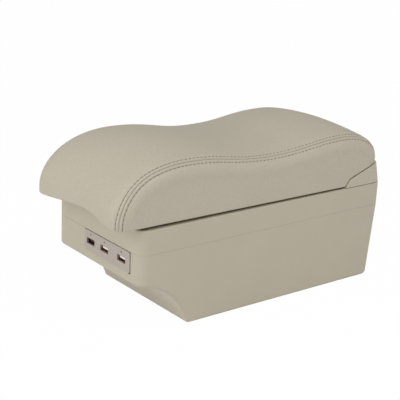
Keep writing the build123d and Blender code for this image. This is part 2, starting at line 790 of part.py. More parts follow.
export_step(usb_plate.part, "parts/usb_plate.step")

# Indicator lenses
with BuildPart() as indicator_lenses:
    with BuildSketch(Plane.XZ.offset(-panel_front_y)):
        with Locations(*[(x, lens_z) for x in port_x]):
            Circle(lens_radius)
    extrude(amount=-lens_length)
indicator_lenses.part.label = "indicator_lenses"
export_step(indicator_lenses.part, "parts/indicator_lenses.step")


# One USB socket: metal shell, and the tongue with its root block
def usb_shell(x):
    with BuildPart() as made:
        with Locations((x, shell_y, port_z)):
            Box(shell_width, shell_depth, shell_height, align=(mid, low, mid))
        fillet(made.edges().filter_by(Axis.Y), radius=2 * shell_wall)
        with Locations((x, shell_y, port_z)):
            Box(
                shell_width - 2 * shell_wall,
                shell_depth - shell_wall,
                shell_height - 2 * shell_wall,
                align=(mid, low, mid),
                mode=Mode.SUBTRACT,
            )
    return made.part


def usb_tongue(x):
    inner_depth = shell_depth - shell_wall - slip_gap
    with BuildPart() as made:
        with Locations((x, shell_y + inner_depth, port_z)):
            Box(
                shell_width - 2 * shell_wall - slip_gap,
                tongue_root,
                shell_height - 2 * shell_wall - slip_gap,
                align=(mid, high, mid),
            )
        with Locations((x, shell_y + inner_depth, port_z + tongue_rise)):
            Box(tongue_width, inner_depth - tongue_back, tongue_thickness, align=(mid, high, mid))
    return made.part


with BuildPart() as usb_shell_left:
    add(usb_shell(port_x[0]))
usb_shell_left.part.label = "usb_shell_left"
export_step(usb_shell_left.part, "parts/usb_shell_left.step")

with BuildPart() as usb_shell_middle:
    add(usb_shell(port_x[1]))
usb_shell_middle.part.label = "usb_shell_middle"
export_step(usb_shell_middle.part, "parts/usb_shell_middle.step")

with BuildPart() as usb_shell_right:
    add(usb_shell(port_x[2]))
usb_shell_right.part.label = "usb_shell_right"
export_step(usb_shell_right.part, "parts/usb_shell_right.step")

with BuildPart() as usb_tongue_left:
    add(usb_tongue(port_x[0]))
usb_tongue_left.part.label = "usb_tongue_left"
export_step(usb_tongue_left.part, "parts/usb_tongue_left.step")

with BuildPart() as usb_tongue_middle:
    add(usb_tongue(port_x[1]))
usb_tongue_middle.part.label = "usb_tongue_middle"
export_step(usb_tongue_middle.part, "parts/usb_tongue_middle.step")

with BuildPart() as usb_tongue_right:
    add(usb_tongue(port_x[2]))
usb_tongue_right.part.label = "usb_tongue_right"
export_step(usb_tongue_right.part, "parts/usb_tongue_right.step")

# USB board and what stands on it
with BuildPart() as usb_board:
    with BuildSketch(Plane.XY.offset(board_top)):
        with Locations((board_x0, board_y0)):
            Rectangle(board_x1 - board_x0, board_y1 - board_y0, align=(low, low))
        with Locations(*[(x, board_post_y) for x in board_post_x]):
            Circle(small_hole_radius, mode=Mode.SUBTRACT)
    extrude(amount=-board_thickness)
usb_board.part.label = "usb_board"
export_step(usb_board.part, "parts/usb_board.step")

with BuildPart() as board_screws:
    with Locations(*[(x, board_post_y, board_top) for x in board_post_x]):
        add(screw(small_screw_radius, small_screw_head, small_screw_head_height, small_screw_length))
board_screws.part.label = "board_screws"
export_step(board_screws.part, "parts/board_screws.step")

with BuildPart() as board_parts:
    with Locations(*[(x, board_post_y, board_top) for x in capacitor_x]):
        Cylinder(capacitor_radius, capacitor_height, align=(mid, mid, low))
    with Locations((coil_x, board_post_y, board_top)):
        Box(coil_size, coil_size, coil_height, align=(mid, mid, low))
board_parts.part.label = "board_parts"
export_step(board_parts.part, "parts/board_parts.step")

with BuildPart() as power_socket:
    socket_inner = (socket_width - 2 * socket_wall, socket_depth - 2 * socket_wall)
    contact_x = (socket_x - contact_pitch / 2, socket_x + contact_pitch / 2)
    with Locations((socket_x, board_post_y, board_top)):
        Box(socket_width, socket_depth, socket_height, align=(mid, mid, low))
    with Locations((socket_x, board_post_y, board_top + socket_floor)):
        Box(*socket_inner, socket_height, align=(mid, mid, low), mode=Mode.SUBTRACT)
    with Locations(*[(x, board_post_y, board_top + socket_floor) for x in contact_x]):
        Box(contact_size, contact_size, contact_height, align=(mid, mid, low))
power_socket.part.label = "power_socket"
export_step(power_socket.part, "parts/power_socket.step")

# Inner cover over the board, trimmed to the box and its undercut
with BuildPart() as usb_cover:
    with Locations((cover_x0, front_y, 0)):
        Box(cover_x1 - cover_x0, cover_y1 - front_y, cover_top, align=(low, low, low))
    fillet(usb_cover.edges().filter_by(Axis.Z).group_by(Axis.Y)[-1], radius=cover_corner)
    with Locations((cover_x0 + cover_wall, front_y, 0)):
        Box(
            cover_x1 - cover_x0 - 2 * cover_wall,
            cover_y1 - front_y - cover_wall,
            cover_top - cover_wall,
            align=(low, low, low),
            mode=Mode.SUBTRACT,
        )
    add(tub_form(wall + slip_gap, parting_height + tub_overtop), mode=Mode.INTERSECT)
    with Locations(*[(x, cover_post_y, cover_top) for x in cover_post_x]):
        Cylinder(small_hole_radius, 4 * cover_wall, mode=Mode.SUBTRACT)
usb_cover.part.label = "usb_cover"
export_step(usb_cover.part, "parts/usb_cover.step")

with BuildPart() as usb_cover_screws:
    with Locations(*[(x, cover_post_y, cover_top) for x in cover_post_x]):
        add(screw(small_screw_radius, small_screw_head, small_screw_head_height, small_screw_length))
usb_cover_screws.part.label = "usb_cover_screws"
export_step(usb_cover_screws.part, "parts/usb_cover_screws.step")

# Cable bush, pressed in from the bin
with BuildPart() as cable_bush:
    with Locations((bush_x, bush_y, wall)):
        Cylinder(bush_sleeve, wall, align=(mid, mid, high))
        Cylinder(bush_flange, bush_flange_height, align=(mid, mid, low))
    fillet(cable_bush.faces().sort_by(Axis.Z)[-1].edges(), radius=bush_edge)
    with Locations((bush_x, bush_y, wall)):
        Cylinder(bush_bore, 10 * wall, mode=Mode.SUBTRACT)
cable_bush.part.label = "cable_bush"
export_step(cable_bush.part, "parts/cable_bush.step")

# Floor mat
with BuildPart() as floor_mat:
    with BuildSketch(Plane.XY.offset(wall)):
        with Locations((0, (mat_front_y + mat_rear_y) / 2)):
            RectangleRounded(mat_width, mat_rear_y - mat_front_y, mat_radius)
        with Locations(*bolt_places):
            Circle(bolt_pad_radius + mat_hole_gap, mode=Mode.SUBTRACT)
        with Locations((bush_x, bush_y)):
            Circle(bush_flange + mat_hole_gap, mode=Mode.SUBTRACT)
    extrude(amount=mat_thickness)
floor_mat.part.label = "floor_mat"
export_step(floor_mat.part, "parts/floor_mat.step")

# Lid buffers
with BuildPart() as lid_buffers:
    for x, y in buffer_places:
        with Locations((x, y, rim_height)):
            Cylinder(buffer_stem, flange_thickness, align=(mid, mid, high))
            Cylinder(buffer_radius, lid_low(y) - rim_height - buffer_gap, align=(mid, mid, low))
lid_buffers.part.label = "lid_buffers"
export_step(lid_buffers.part, "parts/lid_buffers.step")
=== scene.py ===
# %% [markdown]
# # A car centre armrest
# The armrest is a beige moulded box with a padded leatherette lid that is hinged at the rear. They
# could be modelled again here, but with one source for them every fit between them stays true. So
# Blender adds only what a CAD solid lacks: the sewn lid covers, their stitches and every finish.

# %% Frame
import json
import math

import bmesh
import bpy
import numpy as np
from mathutils import Matrix, Vector
from mathutils.bvhtree import BVHTree


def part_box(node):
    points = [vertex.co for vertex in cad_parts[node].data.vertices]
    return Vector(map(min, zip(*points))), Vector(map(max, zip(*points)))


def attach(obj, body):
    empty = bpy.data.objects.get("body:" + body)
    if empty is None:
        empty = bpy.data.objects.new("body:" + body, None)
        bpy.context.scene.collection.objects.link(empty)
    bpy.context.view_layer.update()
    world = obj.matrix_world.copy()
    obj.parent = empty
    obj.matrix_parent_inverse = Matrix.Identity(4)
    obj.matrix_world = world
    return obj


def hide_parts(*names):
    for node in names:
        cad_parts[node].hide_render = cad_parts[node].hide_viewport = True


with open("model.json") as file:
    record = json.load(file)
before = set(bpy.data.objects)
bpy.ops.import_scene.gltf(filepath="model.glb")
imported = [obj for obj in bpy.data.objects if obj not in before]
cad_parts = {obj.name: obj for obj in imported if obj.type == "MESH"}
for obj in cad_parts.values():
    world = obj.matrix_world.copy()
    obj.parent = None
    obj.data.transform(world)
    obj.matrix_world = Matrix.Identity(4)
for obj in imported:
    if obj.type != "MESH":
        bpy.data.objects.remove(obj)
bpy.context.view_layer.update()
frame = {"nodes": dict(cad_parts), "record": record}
cad_nodes = frame["nodes"]
print("CAD nodes:", len(cad_nodes))

# %% [markdown]
# ## Camera
# The photograph looks at the armrest from the front right, a little above the lid, with a long lens.
# A camera can be aimed with a Track To constraint, but then it can't roll, and this view does a little.
# So its place and three angles are written down, and the camera's own axes follow from them:
# back points from the object to the lens, level lies flat, and the roll turns level and upright.

# %% Camera
camera_place = Vector((0.86085, -0.69921, 0.45896))
camera_azimuth = math.radians(51.66)
camera_elevation = math.radians(18.40)
camera_roll = math.radians(2.61)
camera_lens = 101.445
camera_sensor = 36.0

back = Vector((
    math.sin(camera_azimuth) * math.cos(camera_elevation),
    -math.cos(camera_azimuth) * math.cos(camera_elevation),
    math.sin(camera_elevation),
))
level = Vector((math.cos(camera_azimuth), math.sin(camera_azimuth), 0.0))
upright = back.cross(level)
camera_right = level * math.cos(camera_roll) + upright * math.sin(camera_roll)
camera_up = upright * math.cos(camera_roll) - level * math.sin(camera_roll)

camera_data = bpy.data.cameras.new("camera")
camera_data.lens = camera_lens
camera_data.sensor_width = camera_sensor
camera = bpy.data.objects.new("camera", camera_data)
camera.matrix_world = Matrix.Translation(camera_place) @ Matrix(
    (camera_right, camera_up, back)
).transposed().to_4x4()
bpy.context.scene.collection.objects.link(camera)
bpy.context.scene.camera = camera
bpy.context.scene.view_settings.view_transform = "Standard"
print("camera at", tuple(round(v, 3) for v in camera_place))

# %% [markdown]
# ## Shader sums
# A finish is a sum of patterns, such as cells for pebbles and noise for pores.
# Its nodes could be placed and linked one by one, but the sum is then hard to see in the code.
# The first class wraps one socket, so that a Python expression adds the Math nodes it stands for.
# The second one holds a node tree and adds any other node, with its settings and its inputs.


# %% Shader sums
class Signal:
    """One output socket of a node, usable in sums and comparisons."""

    def __init__(self, socket):
        self.socket = socket

    def maths(self, operation, first, second):
        tree = NodeTree(self.socket.id_data)
        return tree.node("ShaderNodeMath", {"operation": operation}, {0: first, 1: second})

    def __add__(self, other):
        return self.maths("ADD", self, other)

    def __radd__(self, other):
        return self.maths("ADD", other, self)

    def __sub__(self, other):
        return self.maths("SUBTRACT", self, other)

    def __rsub__(self, other):
        return self.maths("SUBTRACT", other, self)

    def __mul__(self, other):
        return self.maths("MULTIPLY", self, other)

    def __rmul__(self, other):
        return self.maths("MULTIPLY", other, self)

    def __lt__(self, other):
        return self.maths("LESS_THAN", self, other)

    def __gt__(self, other):
        return self.maths("LESS_THAN", other, self)


class NodeTree:
    """A node tree that is filled node by node."""

    def __init__(self, tree):
        self.tree = tree

    def feed(self, socket, value):
        if isinstance(value, Signal):
            self.tree.links.new(value.socket, socket)
        else:
            socket.default_value = value

    def node(self, kind, settings=None, inputs=None, output=0):
        node = self.tree.nodes.new(kind)
        for name, value in (settings or {}).items():
            setattr(node, name, value)
        for name, value in (inputs or {}).items():
            self.feed(node.inputs[name], value)
        return Signal(node.outputs[output])


print("classes:", Signal.__name__, "and", NodeTree.__name__)

# %% [markdown]
# ## Finishes
# Every finish on the armrest is one Principled shader with a few patterns on Object coordinates.
# Painted pictures would do too, but they need a flat layout for each piece and blur from close by.
# Patterns that are worked out in place stay sharp, and run on evenly over pieces of any shape.

# %% Finishes
mix_share, mix_first, mix_second, mix_colour = 0, 6, 7, 2  # a Mix node's sockets for colours


class Finish(NodeTree):
    """One material: its Principled shader and the patterns that feed it."""

    def __init__(self, name, colour, **constants):
        self.material = bpy.data.materials.new(name)
        self.material.use_nodes = True
        super().__init__(self.material.node_tree)
        self.shader = self.tree.nodes["Principled BSDF"]
        self.set("Base Color", colour)
        for socket, value in constants.items():
            self.set(socket.replace("_", " "), value)

    def set(self, socket, value):
        self.feed(self.shader.inputs[socket], value)

    def place(self):
        return self.node("ShaderNodeTexCoord", output="Object")

    def noise(self, scale, detail=2.0, stretch=(1.0, 1.0, 1.0)):
        drawn = self.node("ShaderNodeMapping", None, {"Vector": self.place(), "Scale": stretch})
        inputs = {"Vector": drawn, "Scale": scale, "Detail": detail}
        return self.node("ShaderNodeTexNoise", {"normalize": True}, inputs, "Fac")

    def cells(self, scale):
        inputs = {"Vector": self.place(), "Scale": scale}
        return self.node("ShaderNodeTexVoronoi", {"feature": "SMOOTH_F1"}, inputs, "Distance")

    def blend(self, share, first, second):
        inputs = {mix_share: share, mix_first: first, mix_second: second}
        return self.node("ShaderNodeMix", {"data_type": "RGBA"}, inputs, mix_colour)

    def bump(self, height, distance, strength):
        inputs = {"Height": height, "Distance": distance, "Strength": strength}
        self.set("Normal", self.node("ShaderNodeBump", None, inputs))


def linear(red, green, blue):
    """A colour read off a screen, 0 to 255, as the shader's linear red, green, blue and alpha."""
    def channel(value):
        share = value / 255
        return share / 12.92 if share <= 0.04045 else ((share + 0.055) / 1.055) ** 2.4
    return (channel(red), channel(green), channel(blue), 1.0)


print("middle grey is", round(linear(128, 128, 128)[0], 3), "in the shader")

# %% [markdown]
# ## Leatherette
# The covers are soft leatherette, pale beige with a slight grey, and almost without gloss.
# Its pebble grain is about a millimetre wide, with finer pores in it and wider, shallow creases.
# A modelled grain would take millions of faces, so a bump stands for it: smooth cells give the
# pebbles, and noise the pores and creases. The creases and a slow noise also tone the colour.

# %% Leatherette
leather_light = linear(190, 182, 165)
leather_dark = linear(181, 173, 155)
leather_detail = 3.0
tone_scale = 22.0
tone_share = 0.6
crease_scale = 380.0
crease_share = 1.6
share_start = 0.6
pebble_scale = 950.0
pebble_share = 0.7
pore_scale = 2600.0
pore_share = 0.3
leather_depth = 0.00018
leather_relief = 0.6
leather_roughness = 0.48
pebble_roughness = 0.10


def sewn_leather():
    finish = Finish("leatherette", leather_light, Specular_IOR_Level=0.35)
    tone = finish.noise(tone_scale, leather_detail)
    creases = finish.noise(crease_scale, leather_detail)
    pebbles = finish.cells(pebble_scale)
    pores = finish.noise(pore_scale)
    darker = tone * tone_share + creases * crease_share - share_start
    grain = pebbles * pebble_share + pores * pore_share + creases * crease_share
    finish.set("Base Color", finish.blend(darker, leather_light, leather_dark))
    finish.set("Roughness", leather_roughness + pebbles * pebble_roughness)
    finish.bump(grain, leather_depth, leather_relief)
    return finish.material


leatherette = sewn_leather()
print("leatherette nodes:", len(leatherette.node_tree.nodes))

# %% [markdown]
# ## Moulded box plastic
# The box, the frame and the hinge block are moulded in the same beige with a spark-eroded grain.
# That grain is finer and shallower than the leather's, so one small noise is enough, with a satin gloss.
# Where the hinge block stands on the frame, a dark line shows: shade in the narrow gap there. It could be a
# modelled slot, but the CAD parts meet face to face there, so that shade is painted: the block's own finish
# is painted dark along its lowest edge.

# %% Moulded box plastic
plastic_light = linear(189, 181, 162)
plastic_dark = linear(183, 175, 156)
# painted shadow: the dark colour on the hinge block's lowest edge stands for the shade in the gap at its
# foot
joint_painted_shadow = linear(58, 50, 36)
painted_shadow_width = 0.0006
spark_scale = 1500.0
spark_depth = 0.00008
spark_relief = 0.5
plastic_roughness = 0.44
spark_roughness = 0.12


def moulded_plastic(name, painted_shadow_top=None):
    finish = Finish(name, plastic_light, Specular_IOR_Level=0.4)
    colour = finish.blend(finish.noise(tone_scale), plastic_light, plastic_dark)
    # painted shadow: below painted_shadow_top the finish is painted dark, as the shade under the block
    if painted_shadow_top is not None:
        height = finish.node("ShaderNodeSeparateXYZ", None, {"Vector": finish.place()}, "Z")
        colour = finish.blend(height < painted_shadow_top, colour, joint_painted_shadow)
    spark = finish.noise(spark_scale)
    finish.set("Base Color", colour)
    finish.set("Roughness", plastic_roughness + spark * spark_roughness)
    finish.bump(spark, spark_depth, spark_relief)
    return finish.material


box_plastic = moulded_plastic("box_plastic")
block_plastic_painted_shadow = moulded_plastic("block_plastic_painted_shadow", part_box("hinge_block")[0][2] + painted_shadow_width)
print("box plastic nodes:", len(box_plastic.node_tree.nodes))

# %% [markdown]
# ## Smaller finishes
# The rest is plain plastic, rubber, foam and metal, each of one colour with a fine grain of its own.
# Flat colours would look like paint, so one noise moves the colour, the roughness and the bump together.
# Steel is brushed: its noise is drawn out along X, which turns the specks into long streaks.

# %% Smaller finishes
tone_spread = 0.12
rough_spread = 0.08
grain_relief = 0.5
brushed = (0.03, 1.0, 1.0)


def shaded(colour, share):
    return (*(channel * share for channel in colour[:3]), 1.0)


def grained(name, colour, roughness, scale, depth, metallic=0.0, stretch=(1.0, 1.0, 1.0)):
    finish = Finish(name, colour, Metallic=metallic)
    grain = finish.noise(scale, stretch=stretch)
    ends = [shaded(colour, share) for share in (1 - tone_spread, 1 + tone_spread)]
    finish.set("Base Color", finish.blend(grain, *ends))
    finish.set("Roughness", roughness - rough_spread + grain * (2 * rough_spread))
    finish.bump(grain, depth, grain_relief)
    return finish.material


grains = {
    "panel_plastic": dict(colour=linear(174, 164, 154), roughness=0.42, scale=1500.0, depth=0.00004),
    "foam": dict(colour=linear(214, 204, 170), roughness=0.9, scale=900.0, depth=0.00040),
    "dark_plastic": dict(colour=linear(28, 28, 30), roughness=0.5, scale=1500.0, depth=0.00006),
    "white_plastic": dict(colour=linear(236, 236, 234), roughness=0.4, scale=1500.0, depth=0.00004),
    "black_rubber": dict(colour=linear(30, 30, 30), roughness=0.7, scale=1200.0, depth=0.00010),
    "board_green": dict(colour=linear(30, 92, 56), roughness=0.35, scale=300.0, depth=0.00005),
    "lens": dict(colour=linear(96, 86, 76), roughness=0.2, scale=400.0, depth=0.00001),
}
steel = dict(colour=linear(160, 161, 163), roughness=0.42, scale=2500.0, depth=0.00002, metallic=1.0)
# painted reflection: the port shells' steel is tinted warm to stand for the warm light it reflects
port_metal_painted_reflection = dict(steel, colour=linear(178, 138, 106), roughness=0.35)
finishes = {name: grained(name, **values) for name, values in grains.items()}
finishes["steel"] = grained("steel", stretch=brushed, **steel)
print("smaller finishes:", ", ".join(finishes))

# %% [markdown]
# The CAD record names a finish for each part, so one loop dresses them all and none is forgotten.
# Only the hinge block, with its painted shadow line, and the port shells, tinted warm as a painted
# reflection, differ from their slots.

# %% Finishes on the CAD parts
finishes.update(box_plastic=box_plastic, leatherette=leatherette)
# the port shells get this warm-tinted steel, a painted reflection
painted_reflection_metal = grained("port_metal_painted_reflection", **port_metal_painted_reflection)
special = {"hinge_block": block_plastic_painted_shadow}
special.update({"usb_shell_" + place: painted_reflection_metal for place in ("left", "middle", "right")})
for row in frame["record"]["subparts"]:
    part = cad_nodes[row["node"]]
    part.data.materials.clear()
    part.data.materials.append(special.get(row["node"], finishes[row["material_slot"]]))

# %% [markdown]
# ## The lid's wave outline
# Seen from the side, the lid rises from a blunt nose to a hump, sinks to a dip for the elbow,
# rises again and rounds off over the hinge. A Bezier curve could be bent to that shape by hand.
# Here two quarter ellipses and two smooth waves run between a few named places, because the
# cover panels need many points on the line, and a place can then be moved without bending the rest.

# %% Wave outline
half_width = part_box("side_cover_right")[1][0]
nose_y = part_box("top_cover")[0][1]
tail_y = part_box("top_cover")[1][1]
rim_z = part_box("upper_frame")[1][2]
foot_z = rim_z - 0.0200
nose_top_z = rim_z + 0.0100
crest = (-0.0910, rim_z + 0.0602)
dip = (0.0170, rim_z + 0.0494)
swell = (0.1060, rim_z + 0.0565)
heel_z = rim_z + 0.0265
outline_step = 0.0005
quarter_detail = 1.4
wave_fullness = 0.42
tail_fullness = 2.15


def eased(share):
    return share * share * (3 - 2 * share)


def quarter(centre, across, height, start, end, fullness=2.0):
    angles = np.linspace(start, end, int(quarter_detail * (across + height) / outline_step))
    run = np.sign(np.cos(angles)) * abs(np.cos(angles)) ** (2 / fullness)
    rise = abs(np.sin(angles)) ** (2 / fullness)
    return np.stack([centre[0] + across * run, centre[1] + height * rise], 1)


def wave(start, end):
    even = np.linspace(0, 1, int((end[0] - start[0]) / outline_step))
    share = even + wave_fullness * even * (1 - even) * (1 - 2 * even)
    height = start[1] + (end[1] - start[1]) * eased(even)
    return np.stack([start[0] + (end[0] - start[0]) * share, height], 1)


def straight(start, end):
    return np.linspace(start, end, max(2, int(math.dist(start, end) / outline_step)))


stretches = [
    straight((nose_y, foot_z), (nose_y, nose_top_z)),
    quarter((crest[0], nose_top_z), crest[0] - nose_y, crest[1] - nose_top_z, math.pi, math.pi / 2),
    wave(crest, dip),
    wave(dip, swell),
    quarter((swell[0], heel_z), tail_y - swell[0], swell[1] - heel_z, math.pi / 2, 0, tail_fullness),
    straight((tail_y, heel_z), (tail_y, foot_z)),
]
outline = np.concatenate([stretch[:-1] for stretch in stretches[:-1]] + stretches[-1:])
print("outline points:", len(outline))

# %% [markdown]
# The lid's top isn't flat across: it is crowned, a few millimetres higher in the middle than beside
# the shoulders. The crown fades out down the nose and the tail. The outline's outward normals are
# found here too, because the shoulder is rolled off the outline along them.

# %% Crown
crown = 0.0078
crown_half = 0.0610
tangent = np.gradient(outline, axis=0)
tangent /= np.linalg.norm(tangent, axis=1)[:, None]
outline_normal = np.stack([-tangent[:, 1], tangent[:, 0]], 1)
nose_share = np.clip((outline[:, 1] - nose_top_z) / (crest[1] - nose_top_z), 0, 1)
tail_share = np.clip((outline[:, 1] - heel_z) / (swell[1] - heel_z), 0, 1)
behind_share = np.where(outline[:, 0] > swell[0], tail_share, 1.0)
crown_share = np.where(outline[:, 0] < crest[0], nose_share, behind_share)


def crown_lift(x):
    """How far the lid's top rises towards the middle, for a line at X along the whole outline."""
    return crown * (1 - (np.minimum(abs(x), crown_half) / half_width) ** 2) * crown_share


print("crown in the middle:", round(1000 * float(crown_lift(0.0).max()), 2), "mm")

# %% [markdown]
# ## The lid's lower edge
# The lid stops a few millimetres above the box rim, and under the nose a shallow scoop lets fingers in.
# The scoop could be cut out of a finished cover, but the cover's edge is turned in along it.
# So the edge is a height for each place, and the panels are made to end there from the start.

# %% Nose edge
rear_end_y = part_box("upper_frame")[1][1]
lid_gap_front = 0.0034
lid_gap_rear = 0.0016
scoop_left = 0.0005 - half_width
scoop_right = half_width - 0.0020
scoop_peak = half_width - 0.0520
scoop_base = rim_z + 0.0032
scoop_rise = 0.0086


def plain_low(y):
    share = (y - nose_y) / (rear_end_y - nose_y)
    return rim_z + lid_gap_front + (lid_gap_rear - lid_gap_front) * share


def nose_low(x):
    left = (x - scoop_left) / (scoop_peak - scoop_left)
    right = (scoop_right - x) / (scoop_right - scoop_peak)
    rise = np.clip(np.where(x < scoop_peak, left, right), 0, 1)
    return np.maximum(plain_low(nose_y), scoop_base + scoop_rise * eased(rise))


def side_nose(x):
    return np.full(len(x), plain_low(nose_y))


print("scoop above the rim:", round(1000 * float(nose_low(scoop_peak) - rim_z), 2), "mm")

# %% [markdown]
# At the rear the edge climbs round the hinge block and then follows the block's sloping top, which
# points at the hinge axis. Two straight lines give the climb and the slope. Both corners are rounded
# by a soft least, which is shorter than an arc that is fitted between the lines.

# %% Edge over the hinge block
axis_y = rear_end_y - 0.0050
axis_z = rim_z + 0.0240
brow_y = rear_end_y - 0.0495
block_foot_y = rear_end_y - 0.0540
block_slope = math.tan(math.radians(18.8))
block_gap = 0.0010
half_gap = 0.5 * block_gap * math.hypot(1, block_slope)
brow_soft = 0.0056
foot_soft = 0.0036


def slope_middle(y):
    return axis_z + (y - axis_y) * block_slope


def slope_low(y):
    return slope_middle(y) + half_gap


def soft_least(first, second, soft):
    """The lesser of two heights, with the corner between them rounded off."""
    bend = np.clip(0.5 + 0.5 * (first - second) / soft, 0, 1)
    return first + (second - first) * bend - soft * bend * (1 - bend)


def side_low(y):
    climb = (slope_middle(brow_y) - half_gap - rim_z) / (brow_y - block_foot_y)
    steep = rim_z + (y - block_foot_y) * climb + block_gap * math.hypot(1, climb)
    upper = soft_least(slope_low(y), steep, brow_soft)
    return -soft_least(-plain_low(y), -upper, foot_soft)


print("edge above the brow:", round(1000 * float(side_low(brow_y) - rim_z), 2), "mm over the rim")

# %% [markdown]
# ## The seam's path
# Three panels make the cover: a top panel that runs from the nose over both humps to the hinge, and
# two side panels. They are sewn together about half way round the shoulder, at 45 degrees.
# A real seam wanders: under the nose it drifts towards the side, and over the hinge towards the top.
# A few places with their drift say so, and the seam between them is filled in evenly.

# %% Seam path
shoulder = 0.0150
flat_half = half_width - shoulder
seam_middle = 45
nose_heights = np.array([3, 20, 28, 36, 43, 48, 53, 60.2]) / 1000
nose_turns = [4.5, 7, 6, 2.5, -1.8, -4.3, -5.8, -2.3]
top_places = np.array([-91, -65, -40, -12, 38, 75, 117, 135, 166]) / 1000
top_turns = [-2.3, -2.2, -4.3, -9, -9, -4, -7.6, -10, -17]
nose_drift = np.interp(outline[:, 1] - rim_z, nose_heights, nose_turns)
top_drift = np.interp(outline[:, 0], top_places, top_turns)
seam_angle = np.radians(seam_middle + np.where(outline[:, 0] < crest[0], nose_drift, top_drift))
seam_arc = shoulder * seam_angle
print("seam angles:", np.degrees([seam_angle.min(), seam_angle.max()]).round(1))

# %% [markdown]
# ## Strands
# A panel is a grid, and each of its long lines is one strand along the lid. A cube that is cut and
# pulled about would do for a plain cushion, but here every point has to know how far it is from the
# seam, because the stitches and the seam groove follow that distance. So the strands are worked out:
# each is the outline, moved in round the shoulder by an angle and cut where the lower edge runs.
# A strand lies a little too deep, which leaves room for the cover to swell.

# %% Strands
edge_round = 0.0016
swell_room = 0.0005


def strand(angle, flat, front_low, rear_low, trim, room):
    """One line along the lid, cut at its front and rear ends: points, lengths and shoulder angles.

    The angle says where on the shoulder the line lies, and the flat distance how far in from it."""
    x = flat_half + shoulder * np.sin(angle) - flat - room * np.sin(angle)
    path = outline - outline_normal * (shoulder * (1 - np.cos(angle)) + room * np.cos(angle))[:, None]
    points = np.column_stack([x, path[:, 0], path[:, 1] + crown_lift(x)])
    front_z = front_low(points[:, 0]) + trim
    rear_z = rear_low(points[:, 1]) + trim
    top = int(np.argmax(points[:, 2]))
    first = int(np.argmax(points[:, 2] > front_z))
    last = top + int(np.argmin(points[top:, 2] > rear_z[top:])) - 1
    start = [points[first, 0], points[first, 1], front_z[first]]
    end = [points[last, 0], points[last, 1], rear_z[last]]
    points = np.concatenate([[start], points[first : last + 1], [end]])
    angle = np.concatenate([[angle[first]], angle[first : last + 1], [angle[last]]])
    lengths = np.concatenate([[0], np.cumsum(np.linalg.norm(np.diff(points, axis=0), axis=1))])
    return points, lengths, angle


def along(line, shares):
    """Shared places on a strand: points, lengths and shoulder angles there."""
    points, lengths, angle = line
    at = shares * lengths[-1]
    spots = np.column_stack([np.interp(at, lengths, points[:, axis]) for axis in range(3)])
    return spots, at, np.interp(at, lengths, angle)


def side_strand(angle, trim=edge_round, room=swell_room):
    return strand(angle, 0 * angle, side_nose, slope_low, trim, room)


print("seam length:", round(1000 * side_strand(seam_angle)[1][-1]), "mm")

# %% [markdown]
# ## Turned edges
# On a real cover the leatherette is folded round the lid's lower edge and stapled inside.
# A Bevel modifier could round a sharp edge, but this one runs between two panels and round corners.
# So each strand ends in its own fold: a quarter circle from the face, then a lip that runs inwards.

# %% Turned edges
lip_width = 0.0080
lip_shares = (0.5, 1.0)
round_steps = 4
fold_points = round_steps + len(lip_shares)
straight_down = np.array([0.0, 0.0, -1.0])
slope_down = np.array([0.0, block_slope, -1.0]) / math.hypot(1, block_slope)


def turned_edge(end, outward, down, reach):
    """The fold at the end of a strand: from the face round to the lip, then in along the lip."""
    outward = outward - down * np.dot(outward, down)
    outward = outward / np.linalg.norm(outward)
    centre = end - outward * edge_round
    lip_start = centre + down * edge_round
    angles = np.linspace(0, math.pi / 2, round_steps + 1)[1:]
    bend = [centre + edge_round * (outward * math.cos(a) + down * math.sin(a)) for a in angles]
    lip = [lip_start - outward * (reach - edge_round) * share for share in lip_shares]
    return np.array(bend + lip)


def front_way(angle):
    return np.array([math.sin(angle), -math.cos(angle), 0.0])


def rear_way(angle):
    return np.array([math.sin(angle), math.cos(angle), 0.0])


print("points in a fold:", fold_points)

# %% [markdown]
# ## Top panel
# The top panel runs from seam to seam. Its lines lie close together beside the seams, where the
# groove and the stitches need them, and far apart on the flat. Over the hinge knuckles the rear edge
# is cut higher, with a short lip, so two close lines stand beside them and keep that step sharp.

# %% Top panel lines
seam_steps = np.array([0, 0.5, 1.0, 1.6, 2.4, 3.2, 4.0, 5.0, 6.5, 8.5]) / 1000
flat_steps = np.array([4, 8, 14, 21, 29, 37, 47]) / 1000
top_rows = 150
hinge_half = 0.0512
hinge_step = 0.0003
knuckle_room_z = axis_z + 0.0050
knuckle_lip = 0.0025


def knuckle_low(y):
    return np.full(len(y), knuckle_room_z)


def cross_stations():
    """Distances from the nearer seam at which lines run along the top panel, from seam to middle."""
    arc = float(seam_arc.max())
    hinge_side = float(seam_arc[-1]) + flat_half - hinge_half
    beside_hinge = [hinge_side - hinge_step, hinge_side + hinge_step]
    return np.concatenate([seam_steps, [arc], beside_hinge, arc + flat_steps])


def top_line(distance, hand):
    """One line of the top panel from lip to lip: points, lengths and which points are free.

    With no distance it is the line in the middle."""
    if distance is None:
        angle, flat = 0 * seam_angle, np.full(len(seam_angle), flat_half)
    else:
        angle = np.maximum(0, seam_angle - distance / shoulder)
        flat = np.maximum(0, distance - seam_arc)
    at_hinge = flat_half - flat[-1] < hinge_half and angle[-1] == 0
    rear_low, down, reach = slope_low, slope_down, lip_width
    if at_hinge:
        rear_low, down, reach = knuckle_low, straight_down, knuckle_lip
    line = strand(angle, flat, lambda x: nose_low(hand * x), rear_low, edge_round, swell_room)
    face, at, turn = along(line, np.linspace(0, 1, top_rows))
    front = turned_edge(face[0], front_way(turn[0]), straight_down, lip_width)
    rear = turned_edge(face[-1], rear_way(turn[-1]), down, reach)
    points = np.concatenate([front[::-1], face, rear]) * np.array([hand, 1, 1])
    fold = np.zeros(fold_points)
    free = np.concatenate([fold, [0], np.ones(top_rows - 2), [0], fold])
    return points, np.concatenate([fold, at, fold + at[-1]]), free


